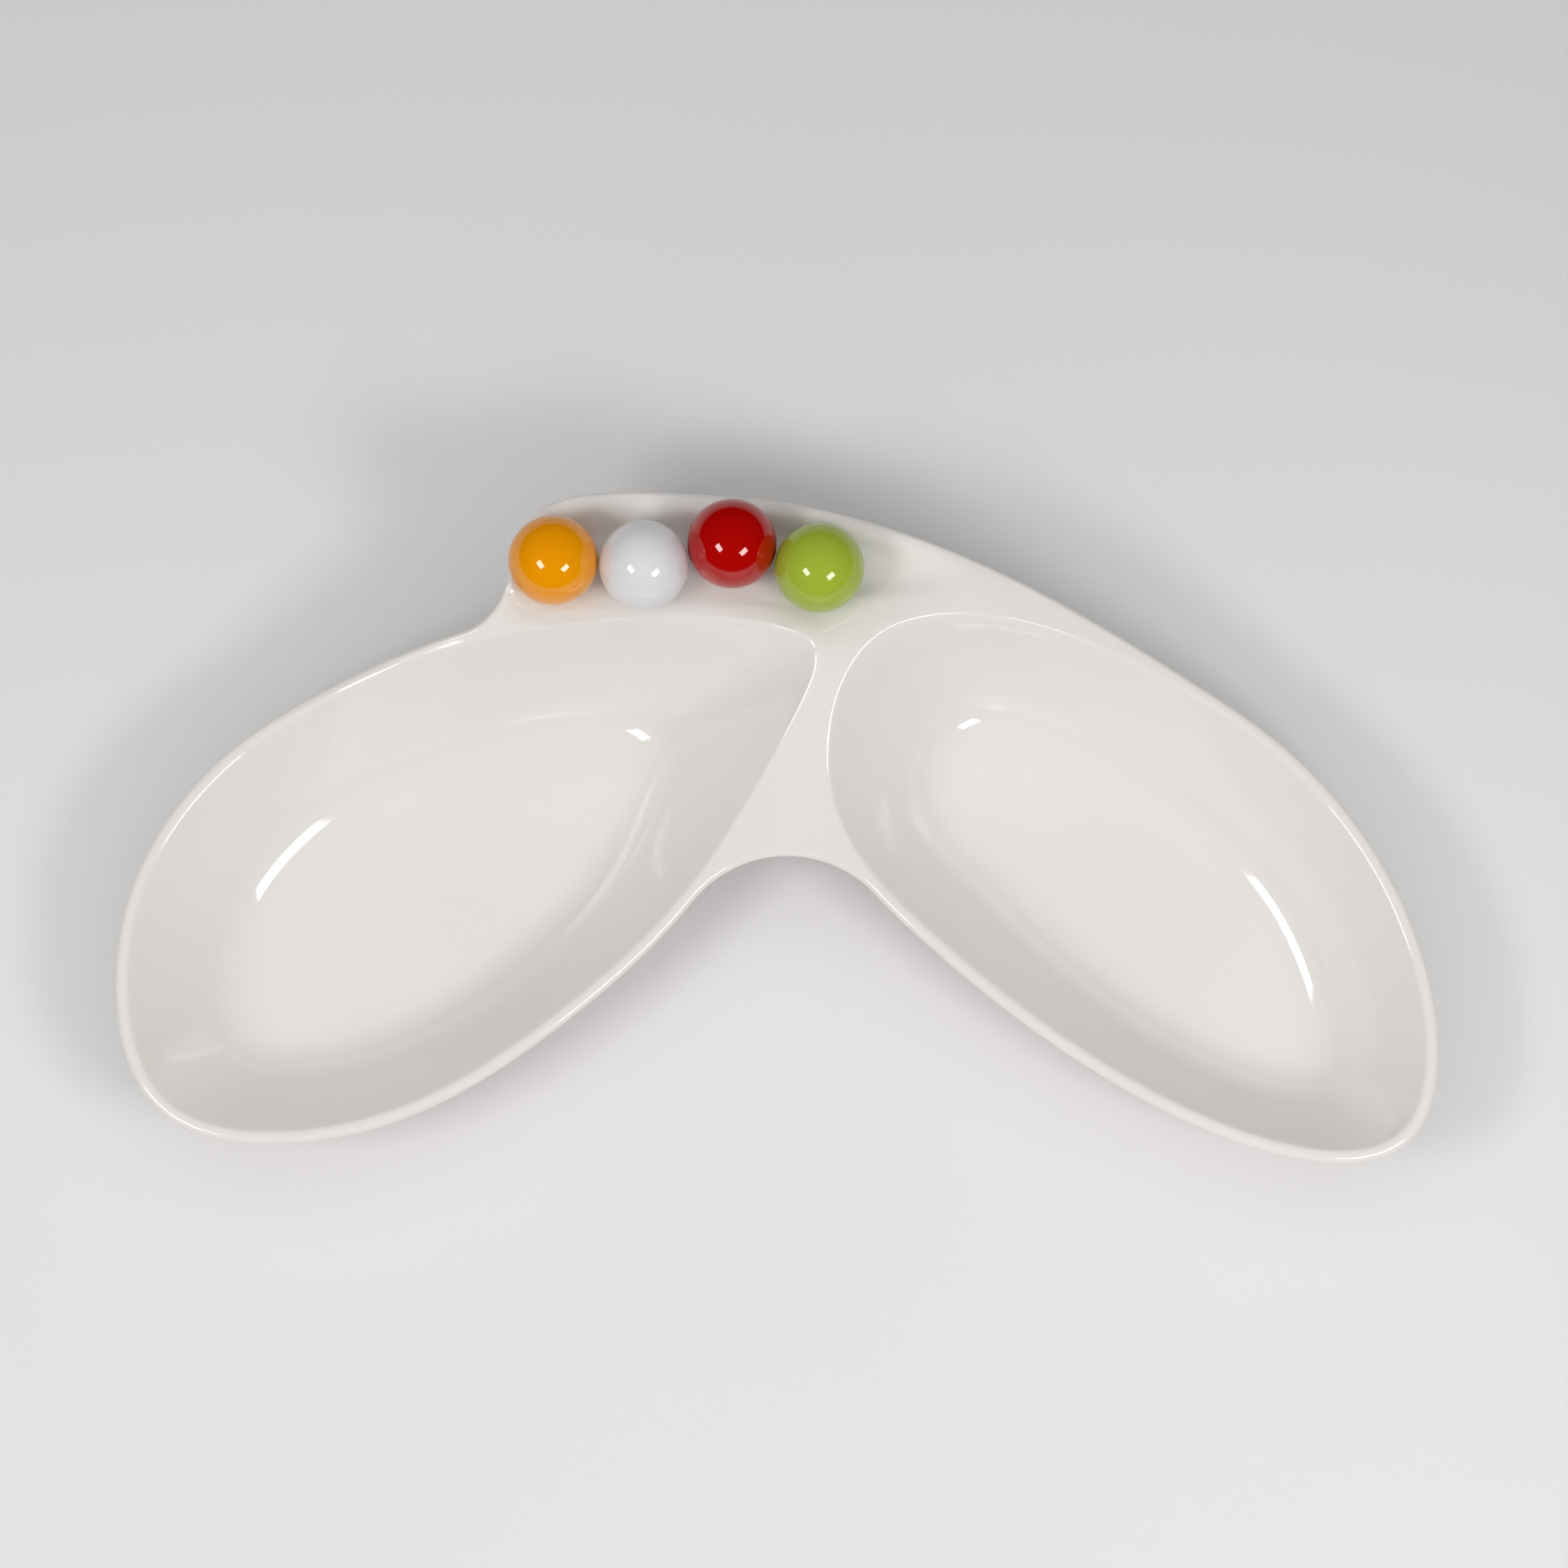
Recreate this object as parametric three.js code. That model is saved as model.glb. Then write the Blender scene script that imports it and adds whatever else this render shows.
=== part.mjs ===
// Two-lobed ceramic serving dish with a trough of four loose balls.
// Millimetres, +Z up, front of the dish towards -Y, standing on its foot rings at Z = 0.
import * as THREE from 'three';

// Heights and thicknesses of the casting.
const RIM_HEIGHT = 40;
const FLOOR_HEIGHT = 7;
const FOOT_HEIGHT = 3;
const LIP_WIDTH = 4;
const LIP_RADIUS = 2;
const DECK_THICKNESS = 2 * LIP_RADIUS;
const WALL_OUTSET = 2.3;
const TROUGH_WALL = 5;

// The rim is level round both lobes and swells up to the trough, over these spans across and from the front.
const BACK_RISE = 26;
const RISE_LEFT = [-175, -85];
const RISE_RIGHT = [20, 195];
const RISE_FRONT = [-32, 72];

// Rounding of the bowls, measured along the wall from each corner; the mouths are softer at the back.
const FLOOR_FILLET = 13;
const MOUTH_FILLET = 1.4;
const LEFT_BACK_FILLET = 11;
const LEFT_SOFT_FROM = [-58, -36];
const LEFT_SOFT_TO = [8, 30];
const RIGHT_BACK_FILLET = 8;
const RIGHT_SOFT_TO = [60, 125];
const SOFT_BACKING = 0.15;

// Foot ring under each bowl, measured inward from the floor corner.
const FOOT_INSET = 5;
const FOOT_WIDTH = 5;
const FOOT_TAPER = 1;

// Trough behind the left bowl.
const TROUGH_DEPTH = 7;
const TROUGH_LIP = 3.5;
const RIDGE_DIP = 5;
const RIDGE_FADE_LEFT = [-115, -75];
const RIDGE_FADE_RIGHT = [-20, 12];
const TROUGH_FADE = [8, 58];

// Outline between the lobes and the trough.
const ARCH_RADIUS = 40;
const SHOULDER_RADIUS = 20;
const FLANK_START = [10, 88.5];
const FLANK_END = [150, 28];

// Loose balls.
const BALL_DIAMETER = 30;
const BALL_CLEARANCE = 0.3;
const FIRST_BALL = [-77, 69];
const BALLS = [
  { name: 'orange_ball', colour: 0xe69600, turn: 0 },
  { name: 'white_ball', colour: 0xdedcde, turn: -3 },
  { name: 'red_ball', colour: 0xaf0000, turn: 14 },
  { name: 'green_ball', colour: 0xa5b93c, turn: -16 },
];

// Stations round each hollow, anticlockwise from above: mouth x, y and floor corner x, y.
const LEFT_BOWL = [
  [8, 44.5, -45.5, 21.5], [-29.5, 53.5, -59, 30.5], [-83.5, 49.5, -88.5, 28.5],
  [-139.5, 35.5, -129, 11], [-189, 6, -164.5, -14.5], [-218.5, -45, -184.5, -48],
  [-211.5, -101, -183.5, -82.5], [-172, -118, -159.5, -89.5], [-121, -107, -122, -78],
  [-72, -75, -86.5, -55], [-31, -34, -65, -28.5], [2, 18, -47.5, 3],
];
const RIGHT_BOWL = [
  [29.5, 44, 57, 27.5], [17, -7, 50.5, -4], [52, -53, 75, -34.5], [96, -88, 107.5, -64],
  [153, -118, 150, -91.5], [206, -117.5, 181.5, -92.5], [211.5, -62, 177.5, -57],
  [184, -7, 157.5, -23.5], [140.5, 29, 124, 6], [82, 51.5, 85, 30.5],
];
const TROUGH = [
  [63, 67, 26.5, 70], [19.5, 84, 17.5, 77], [-18.5, 90.5, -17.5, 80], [-57, 92, -54, 80],
  [-80.5, 86.5, -77.5, 78.5], [-89, 72, -83, 70], [-86.5, 58, -79.5, 63.5], [-59, 55.5, -55, 63.5],
  [24.5, 58, 15.5, 64],
];

// Mesh density: points round each bowl and the trough, and steps on each rounding.
const BOWL_POINTS = 64;
const TROUGH_POINTS = 48;
const FINE = 8;
const FILLET_STEPS = 3;
const WALL_STEPS = 3;
const SLOPE_STEPS = 5;
const ARC_STEPS = 12;
const FLANK_STEPS = 12;
const CONTACT_STEP = 1;
const CIRCLE_SLACK = 1e-6;
const SPLINE_PASSES = 30;
const BALL_SEGMENTS = 24;
const BALL_RINGS = 14;

const { lerp, smoothstep } = THREE.MathUtils;

// Closed, curvature-continuous curve through the given points, at equal steps of its parameter.
function closedSpline(points, count) {
  const total = points.length;
  const at = (list, i) => list[(i + total) % total];
  let controls = points.map((p) => p.clone());
  for (let pass = 0; pass < SPLINE_PASSES; pass += 1) {
    controls = controls.map((p, i) => {
      const beside = at(controls, i - 1).clone().add(at(controls, i + 1));
      const onCurve = beside.addScaledVector(p, 4).divideScalar(6);
      return p.clone().add(points[i]).sub(onCurve);
    });
  }
  return Array.from({ length: count }, (_, k) => {
    const place = (k / count) * total;
    const i = Math.floor(place);
    const f = place - i;
    const weights = [
      (1 - f) ** 3,
      3 * f ** 3 - 6 * f ** 2 + 4,
      -3 * f ** 3 + 3 * f ** 2 + 3 * f + 1,
      f ** 3,
    ];
    const sum = new THREE.Vector2();
    weights.forEach((w, j) => sum.addScaledVector(at(controls, i + j - 1), w / 6));
    return sum;
  });
}

// Outward unit normal at each point of an anticlockwise loop.
function loopNormals(loop) {
  const n = loop.length;
  return loop.map((_, i) => {
    const along = loop[(i + 1) % n].clone().sub(loop[(i + n - 1) % n]).normalize();
    return new THREE.Vector2(along.y, -along.x);
  });
}

function offsetLoop(loop, distance) {
  const normals = loopNormals(loop);
  return loop.map((p, i) => p.clone().addScaledVector(normals[i], distance));
}

function middleOf(loop) {
  return loop.reduce((sum, p) => sum.add(p), new THREE.Vector2()).divideScalar(loop.length);
}

// Every point where two closed loops cross.
function crossings(first, second) {
  const found = [];
  first.forEach((a, i) => {
    const along = first[(i + 1) % first.length].clone().sub(a);
    second.forEach((b, j) => {
      const across = second[(j + 1) % second.length].clone().sub(b);
      const area = along.cross(across);
      if (area === 0) return;
      const gap = b.clone().sub(a);
      const s = gap.cross(across) / area;
      const t = gap.cross(along) / area;
      if (s >= 0 && s < 1 && t >= 0 && t < 1) found.push(a.clone().addScaledVector(along, s));
    });
  });
  return found;
}

function nearestIndex(loop, point) {
  let best = 0;
  loop.forEach((p, i) => {
    if (p.distanceTo(point) < loop[best].distanceTo(point)) best = i;
  });
  return best;
}

// Stretch of a fine loop from one index to another, keeping the coarse points between them.
function stretch(fine, from, to) {
  const n = fine.length;
  const length = (to - from + n) % n;
  const kept = [fine[from]];
  for (let k = 1; k < length; k += 1) {
    const i = (from + k) % n;
    const clear = Math.min(k, length - k) > FINE / 2;
    if (i % FINE === 0 && clear) kept.push(fine[i]);
  }
  kept.push(fine[to]);
  return kept;
}

// Points between two ends of an arc about a centre, the shorter way round, without its ends.
function arcBetween(centre, from, to) {
  const start = from.clone().sub(centre);
  const turn = Math.atan2(start.cross(to.clone().sub(centre)), start.dot(to.clone().sub(centre)));
  return Array.from({ length: ARC_STEPS - 1 }, (_, k) => (
    from.clone().rotateAround(centre, (turn * (k + 1)) / ARC_STEPS)
  ));
}

// Mouth and floor curves of one hollow, with the unit direction from floor corner to mouth.
function hollow(stations, count) {
  const mouthPoints = stations.map(([x, y]) => new THREE.Vector2(x, y));
  const floorPoints = stations.map(([, , x, y]) => new THREE.Vector2(x, y));
  const mouth = closedSpline(mouthPoints, count);
  const floor = closedSpline(floorPoints, count);
  const run = mouth.map((p, i) => p.distanceTo(floor[i]));
  const outward = mouth.map((p, i) => p.clone().sub(floor[i]).divideScalar(run[i]));
  return { mouth, floor, run, outward, fineMouth: closedSpline(mouthPoints, count * FINE) };
}

// Outline of the dish: the mouths widened by the lip, joined by the arch, the shoulder and the back flank.
function dishOutline(left, right, trough) {
  const leftEdge = offsetLoop(left.fineMouth, LIP_WIDTH);
  const rightEdge = offsetLoop(right.fineMouth, LIP_WIDTH);
  const troughEdge = offsetLoop(trough.fineMouth, TROUGH_LIP);
  const archCentres = crossings(offsetLoop(leftEdge, ARCH_RADIUS), offsetLoop(rightEdge, ARCH_RADIUS));
  const archCentre = archCentres.sort((a, b) => a.y - b.y)[0];
  const shoulderCentres = crossings(
    offsetLoop(leftEdge, SHOULDER_RADIUS),
    offsetLoop(troughEdge, SHOULDER_RADIUS),
  );
  const shoulderCentre = shoulderCentres.sort((a, b) => a.x - b.x)[0];
  const leftArch = nearestIndex(leftEdge, archCentre);
  const rightArch = nearestIndex(rightEdge, archCentre);
  const leftShoulder = nearestIndex(leftEdge, shoulderCentre);
  const troughShoulder = nearestIndex(troughEdge, shoulderCentre);
  const flankStart = nearestIndex(rightEdge, new THREE.Vector2(...FLANK_END));
  const flankEnd = nearestIndex(troughEdge, new THREE.Vector2(...FLANK_START));
  const from = rightEdge[flankStart];
  const to = troughEdge[flankEnd];
  const reach = from.distanceTo(to) / 3;
  const normalFrom = loopNormals(rightEdge)[flankStart];
  const normalTo = loopNormals(troughEdge)[flankEnd];
  const flank = new THREE.CubicBezierCurve(
    from,
    new THREE.Vector2(-normalFrom.y, normalFrom.x).multiplyScalar(reach).add(from),
    new THREE.Vector2(normalTo.y, -normalTo.x).multiplyScalar(reach).add(to),
    to,
  );
  return [
    ...stretch(leftEdge, leftShoulder, leftArch),
    ...arcBetween(archCentre, leftEdge[leftArch], rightEdge[rightArch]),
    ...stretch(rightEdge, rightArch, flankStart),
    ...flank.getPoints(FLANK_STEPS).slice(1, -1),
    ...stretch(troughEdge, flankEnd, troughShoulder),
    ...arcBetween(shoulderCentre, troughEdge[troughShoulder], leftEdge[leftShoulder]),
  ];
}

// Gathers loops of vertices and the faces between them into one closed surface.
class Surface {
  constructor() {
    this.positions = [];
    this.faces = [];
  }

  // Adds a plan loop at one height, or at a height for each point, and gives back its vertex numbers.
  loop(plan, height) {
    return plan.map((p, i) => {
      this.positions.push(p.x, p.y, Array.isArray(height) ? height[i] : height);
      return this.positions.length / 3 - 1;
    });
  }

  // Place of one vertex seen from above.
  plan(vertex) {
    return new THREE.Vector2(this.positions[3 * vertex], this.positions[3 * vertex + 1]);
  }

  // Faces between two loops of equal count; they look up where the first loop lies outside the second.
  band(a, b) {
    const n = a.length;
    a.forEach((_, i) => {
      const j = (i + 1) % n;
      this.faces.push(a[i], a[j], b[j], a[i], b[j], b[i]);
    });
  }

  chain(loops) {
    loops.slice(1).forEach((next, i) => this.band(loops[i], next));
  }

  // Closes a loop to a point in its middle.
  cap(loop, centre, height, up) {
    const [tip] = this.loop([centre], height);
    loop.forEach((v, i) => {
      const w = loop[(i + 1) % loop.length];
      if (up) this.faces.push(v, w, tip);
      else this.faces.push(w, v, tip);
    });
  }

  // Fills the plan between an outer loop and its holes with the given triangles.
  sheet(loops, triangles, up) {
    const vertices = loops.flat();
    triangles.forEach(([i, j, k]) => {
      if (up) this.faces.push(vertices[i], vertices[j], vertices[k]);
      else this.faces.push(vertices[i], vertices[k], vertices[j]);
    });
  }

  geometry() {
    const geometry = new THREE.BufferGeometry();
    geometry.setAttribute('position', new THREE.Float32BufferAttribute(this.positions, 3));
    geometry.setIndex(this.faces);
    geometry.computeVertexNormals();
    return geometry;
  }
}

function anticlockwise(points, [i, j, k]) {
  const turn = points[j].clone().sub(points[i]).cross(points[k].clone().sub(points[i]));
  return turn > 0 ? [i, j, k] : [i, k, j];
}

// Whether a point lies inside the circle through an anticlockwise triangle.
function insideCircle(points, [i, j, k], other) {
  const [a, b, c] = [i, j, k].map((v) => points[v].clone().sub(points[other]));
  return a.lengthSq() * b.cross(c) + b.lengthSq() * c.cross(a) + c.lengthSq() * a.cross(b) > CIRCLE_SLACK;
}

// Turns the shared edges of a sheet until each triangle joins near neighbours only.
function evenSheet(points, triangles) {
  const sheet = triangles.map((triangle) => anticlockwise(points, triangle));
  const owners = new Map();
  const own = (n) => sheet[n].forEach((v, i) => owners.set(`${v} ${sheet[n][(i + 1) % 3]}`, n));
  sheet.forEach((_, n) => own(n));
  const waiting = [...owners.keys()];
  while (waiting.length > 0) {
    const [a, b] = waiting.pop().split(' ').map(Number);
    const first = owners.get(`${a} ${b}`);
    const second = owners.get(`${b} ${a}`);
    if (first === undefined || second === undefined) continue;
    const c = sheet[first].find((v) => v !== a && v !== b);
    const d = sheet[second].find((v) => v !== a && v !== b);
    if (!insideCircle(points, [a, b, c], d)) continue;
    owners.delete(`${a} ${b}`);
    owners.delete(`${b} ${a}`);
    sheet[first] = [a, d, c];
    sheet[second] = [d, b, c];
    own(first);
    own(second);
    waiting.push(`${a} ${d}`, `${d} ${b}`, `${b} ${c}`, `${c} ${a}`);
  }
  return sheet;
}

// Height of the rim over a place in the plan.
function rimHeight({ x, y }) {
  const across = smoothstep(x, ...RISE_LEFT) * (1 - smoothstep(x, ...RISE_RIGHT));
  return RIM_HEIGHT + BACK_RISE * across * smoothstep(y, ...RISE_FRONT);
}

// Mouth of the left bowl: crisp, but falling to a soft ridge on the side that faces the trough.
function leftMouth(bowl) {
  return loopNormals(bowl.mouth).map((normal, i) => {
    const { x } = bowl.mouth[i];
    const rim = rimHeight(bowl.mouth[i]);
    const facing = smoothstep(normal.y, 0, 1);
    const low = facing * smoothstep(x, ...RIDGE_FADE_LEFT) * (1 - smoothstep(x, ...RIDGE_FADE_RIGHT));
    const soft = facing * smoothstep(x, ...LEFT_SOFT_FROM) * (1 - smoothstep(x, ...LEFT_SOFT_TO));
    return { height: rim - RIDGE_DIP * low, fillet: lerp(MOUTH_FILLET, LEFT_BACK_FILLET, soft) };
  });
}

// Mouth of the right bowl: softer at the back towards the bridge.
function rightMouth(bowl) {
  return loopNormals(bowl.mouth).map((normal, i) => {
    const soft = smoothstep(normal.y, 0, 1) * (1 - smoothstep(bowl.mouth[i].x, ...RIGHT_SOFT_TO));
    return { height: rimHeight(bowl.mouth[i]), fillet: lerp(MOUTH_FILLET, RIGHT_BACK_FILLET, soft) };
  });
}

// Height of the trough's mouth: the rim at the back, falling round the left end to the ridge in front.
function troughMouthHeights(trough) {
  return loopNormals(trough.mouth).map((normal, i) => {
    const along = 1 - smoothstep(trough.mouth[i].x, ...TROUGH_FADE);
    return rimHeight(trough.mouth[i]) - RIDGE_DIP * smoothstep(-normal.y, -1, 1) * along;
  });
}

// Points of a rounded corner between two straight legs, by distance across the section and height.
function roundedCorner(before, corner, after) {
  return new THREE.QuadraticBezierCurve(before, corner, after).getPoints(FILLET_STEPS);
}

// Loops of one section, carried round a bowl; the section gives distance and height at each station.
function sectionLoops(surface, bowl, section) {
  const sections = bowl.floor.map((_, i) => section(i));
  return sections[0].map((_, step) => surface.loop(
    bowl.floor.map((p, i) => p.clone().addScaledVector(bowl.outward[i], sections[i][step].x)),
    sections.map((points) => points[step].y),
  ));
}

// Points from the end of one stretch to the start of the next, without either end.
function straightBetween(from, to) {
  return Array.from({ length: WALL_STEPS - 1 }, (_, k) => from.clone().lerp(to, (k + 1) / WALL_STEPS));
}

// Inside of a bowl at one station, from the deck over the mouth and down the wall to the floor.
function insideSection(run, { height, fillet }) {
  const mouth = new THREE.Vector2(run, height);
  const corner = new THREE.Vector2(0, FLOOR_HEIGHT);
  const up = mouth.clone().sub(corner).normalize();
  const edge = roundedCorner(
    new THREE.Vector2(run + MOUTH_FILLET, height),
    mouth,
    mouth.clone().addScaledVector(up, -fillet),
  );
  const bend = roundedCorner(
    corner.clone().addScaledVector(up, FLOOR_FILLET),
    corner,
    new THREE.Vector2(-FLOOR_FILLET, FLOOR_HEIGHT),
  );
  return [...edge, ...straightBetween(edge.at(-1), bend[0]), ...bend];
}

// Outside of a bowl at one station, from the recess inside the foot ring up to the deck's underside.
// The underside lies lower behind a soft mouth, which keeps the wall full there.
function outsideSection(run, { height, fillet }) {
  const backing = DECK_THICKNESS + SOFT_BACKING * (fillet - MOUTH_FILLET);
  const top = new THREE.Vector2(run + MOUTH_FILLET, height - backing);
  const corner = new THREE.Vector2(WALL_OUTSET, FOOT_HEIGHT);
  const up = top.clone().sub(corner).normalize();
  const footOuter = -FOOT_INSET;
  const footInner = footOuter - FOOT_WIDTH;
  const foot = [
    new THREE.Vector2(footInner - FOOT_TAPER, FOOT_HEIGHT),
    new THREE.Vector2(footInner, 0),
    new THREE.Vector2(footOuter, 0),
    new THREE.Vector2(footOuter + FOOT_TAPER, FOOT_HEIGHT),
  ];
  const bend = roundedCorner(
    foot.at(-1).clone(),
    corner,
    corner.clone().addScaledVector(up, FLOOR_FILLET),
  ).slice(1);
  return [...foot, ...bend, ...straightBetween(bend.at(-1), top), top];
}

// Inside and outside of a bowl; gives back the loops that meet the deck above and below.
function addBowl(surface, bowl, mouth) {
  const middle = middleOf(bowl.floor);
  const inside = sectionLoops(surface, bowl, (i) => insideSection(bowl.run[i], mouth[i]));
  surface.chain(inside);
  surface.cap(inside.at(-1), middle, FLOOR_HEIGHT, true);
  const outside = sectionLoops(surface, bowl, (i) => outsideSection(bowl.run[i], mouth[i]));
  surface.chain(outside);
  surface.cap(outside[0], middle, FOOT_HEIGHT, false);
  return { above: inside[0], below: outside.at(-1) };
}

// Soft-sided trough, the same wall above and below.
function addTrough(surface, trough, mouthHeights) {
  const floorHeight = RIM_HEIGHT + BACK_RISE - TROUGH_DEPTH;
  const middle = middleOf(trough.floor);
  const slope = (drop) => Array.from({ length: SLOPE_STEPS + 1 }, (_, k) => {
    const part = k / SLOPE_STEPS;
    const plan = trough.mouth.map((p, i) => p.clone().lerp(trough.floor[i], part));
    const fall = smoothstep(part, 0, 1);
    return surface.loop(plan, mouthHeights.map((h, i) => {
      const wall = lerp(DECK_THICKNESS, TROUGH_WALL, fall);
      return lerp(h, floorHeight, fall) - drop * wall;
    }));
  });
  const above = slope(0);
  surface.chain(above);
  surface.cap(above.at(-1), middle, floorHeight, true);
  const below = slope(1);
  surface.chain(below.slice().reverse());
  surface.cap(below.at(-1), middle, floorHeight - TROUGH_WALL, false);
  return { above: above[0], below: below[0] };
}

// Half-round lip along the outline, from the deck's underside round to its top.
function addLip(surface, outline) {
  const loops = Array.from({ length: 2 * FILLET_STEPS + 1 }, (_, k) => {
    const angle = (Math.PI / 2) * (k / FILLET_STEPS - 1);
    const inset = LIP_RADIUS * (1 - Math.cos(angle));
    const below = LIP_RADIUS * (1 - Math.sin(angle));
    return surface.loop(offsetLoop(outline, -inset), outline.map((p) => rimHeight(p) - below));
  });
  surface.chain(loops);
  return { above: loops.at(-1), below: loops[0] };
}

function makeDish(left, right, trough, outline) {
  const surface = new Surface();
  const edges = [
    addLip(surface, outline),
    addBowl(surface, left, leftMouth(left)),
    addBowl(surface, right, rightMouth(right)),
    addTrough(surface, trough, troughMouthHeights(trough)),
  ];
  const plans = edges.map((edge) => edge.above.map((v) => surface.plan(v)));
  const points = plans.flat();
  const [rim, ...holes] = plans;
  const triangles = evenSheet(points, THREE.ShapeUtils.triangulateShape(rim, holes));
  surface.sheet(edges.map((edge) => edge.above), triangles, true);
  surface.sheet(edges.map((edge) => edge.below), triangles, false);
  const glaze = new THREE.MeshStandardMaterial({ color: 0xe0ddd8, roughness: 0.15, metalness: 0 });
  const dish = new THREE.Mesh(surface.geometry(), glaze);
  dish.name = 'dish';
  return dish;
}

// Height at which a ball's centre comes to rest when it is lowered onto the dish.
function restHeight(dish, place, reach) {
  const position = dish.geometry.getAttribute('position');
  const index = dish.geometry.getIndex();
  const corner = (k) => new THREE.Vector3().fromBufferAttribute(position, index.getX(k));
  const zone = new THREE.Box2().setFromCenterAndSize(place, new THREE.Vector2(2 * reach, 2 * reach));
  let height = 0;
  for (let k = 0; k < index.count; k += 3) {
    const [a, b, c] = [corner(k), corner(k + 1), corner(k + 2)];
    if (!zone.intersectsBox(new THREE.Box2().setFromPoints([a, b, c]))) continue;
    const steps = Math.ceil(Math.max(a.distanceTo(b), b.distanceTo(c), c.distanceTo(a)) / CONTACT_STEP);
    for (let i = 0; i <= steps; i += 1) {
      for (let j = 0; j <= steps - i; j += 1) {
        const point = a.clone().multiplyScalar(steps - i - j).addScaledVector(b, i).addScaledVector(c, j);
        point.divideScalar(steps);
        const away = Math.hypot(point.x - place.x, point.y - place.y);
        if (away < reach) height = Math.max(height, point.z + Math.sqrt(reach ** 2 - away ** 2));
      }
    }
  }
  return height;
}

// Ball of fired clay, resting in the trough.
function makeBall({ name, colour }, dish, place) {
  const geometry = new THREE.SphereGeometry(BALL_DIAMETER / 2, BALL_SEGMENTS, BALL_RINGS);
  geometry.rotateX(Math.PI / 2);
  const glaze = new THREE.MeshStandardMaterial({ color: colour, roughness: 0.08, metalness: 0 });
  const ball = new THREE.Mesh(geometry, glaze);
  ball.name = name;
  ball.position.set(place.x, place.y, restHeight(dish, place, BALL_DIAMETER / 2 + BALL_CLEARANCE));
  return ball;
}

const leftBowl = hollow(LEFT_BOWL, BOWL_POINTS);
const rightBowl = hollow(RIGHT_BOWL, BOWL_POINTS);
const trough = hollow(TROUGH, TROUGH_POINTS);
const outline = dishOutline(leftBowl, rightBowl, trough);

const servingBowl = new THREE.Group();
const dish = makeDish(leftBowl, rightBowl, trough, outline);
servingBowl.add(dish);

// The balls lie in a row, each touching the last, at its own angle to the row.
const place = new THREE.Vector2(...FIRST_BALL);
BALLS.forEach((ball, i) => {
  const pitch = i === 0 ? 0 : BALL_DIAMETER + BALL_CLEARANCE;
  const turn = THREE.MathUtils.degToRad(ball.turn);
  place.add(new THREE.Vector2(pitch * Math.cos(turn), pitch * Math.sin(turn)));
  servingBowl.add(makeBall(ball, dish, place));
});

// The origin is under the middle of the outline.
const middle = new THREE.Box2().setFromPoints(outline).getCenter(new THREE.Vector2());
servingBowl.position.set(-middle.x, -middle.y, 0);

export default servingBowl;
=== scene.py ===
import math

import bpy
import numpy as np
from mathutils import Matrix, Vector, geometry


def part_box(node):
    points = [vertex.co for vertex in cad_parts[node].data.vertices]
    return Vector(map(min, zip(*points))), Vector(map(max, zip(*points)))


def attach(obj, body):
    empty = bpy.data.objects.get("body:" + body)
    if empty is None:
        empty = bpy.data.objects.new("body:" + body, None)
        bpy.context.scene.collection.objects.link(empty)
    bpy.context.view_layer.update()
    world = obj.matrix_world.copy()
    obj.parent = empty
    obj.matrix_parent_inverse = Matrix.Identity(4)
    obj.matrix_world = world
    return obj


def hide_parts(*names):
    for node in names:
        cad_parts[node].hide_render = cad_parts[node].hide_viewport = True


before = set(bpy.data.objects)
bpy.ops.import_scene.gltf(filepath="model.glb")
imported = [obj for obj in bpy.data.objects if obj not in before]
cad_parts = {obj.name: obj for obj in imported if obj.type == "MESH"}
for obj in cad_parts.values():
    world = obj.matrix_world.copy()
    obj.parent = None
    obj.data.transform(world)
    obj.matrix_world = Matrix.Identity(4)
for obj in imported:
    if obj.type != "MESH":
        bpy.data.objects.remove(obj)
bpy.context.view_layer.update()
scene = bpy.context.scene
scene.view_settings.view_transform = "Standard"


# Camera: a long lens high over the front edge of the table, looking down on the dish.
# It aims at the level of the lobes' rim, over the bridge between the two bowls.
AIM = (0.00278, 0.01641, 0.040)
REACH = 1.300
ELEVATION = math.radians(78)
LENS = 88.174
SENSOR = 36.0

lens = bpy.data.cameras.new("table_camera")
lens.lens = LENS
lens.sensor_width = SENSOR
camera = bpy.data.objects.new("table_camera", lens)
camera.location = (
    AIM[0],
    AIM[1] - REACH * math.cos(ELEVATION),
    AIM[2] + REACH * math.sin(ELEVATION),
)
camera.rotation_euler = (math.pi / 2 - ELEVATION, 0, 0)
scene.collection.objects.link(camera)
scene.camera = camera


# Dish: one slip-cast ceramic shell, two leaf-shaped bowls under a shared deck that narrows to a bridge.
# A trough for the balls is pressed into the deck behind the left bowl, the lip is a half-round, and
# a foot ring stands under each bowl. Warm white gloss glaze covers all but the standing edge of the feet.
MM = 0.001

# Rim, walls and floor in millimetres: the rim is level round the lobes and swells up to the trough.
# Here and below, a pair of numbers holds the two ends of a soft step, but for points, which are x, y.
RIM_HEIGHT = 40.0
BACK_RISE = 26.0
RISE_LEFT = (-175.0, -85.0)
RISE_RIGHT = (20.0, 195.0)
RISE_FRONT = (-32.0, 72.0)
FLOOR_HEIGHT = 7.0
FLOOR_FILLET = 13.0
WALL_OUTSET = 2.3
LIP_WIDTH = 4.0
LIP_RADIUS = 2.0
DECK_THICKNESS = 2 * LIP_RADIUS

# Edges of the mouths: crisp, but soft and broad along the back, where the wall behind them is thicker.
MOUTH_FILLET = 1.4
LEFT_BACK_FILLET = 11.0
LEFT_SOFT_FROM = (-58.0, -36.0)
LEFT_SOFT_TO = (8.0, 30.0)
RIGHT_BACK_FILLET = 8.0
RIGHT_SOFT_TO = (60.0, 125.0)
SOFT_BACKING = 0.15

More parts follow.
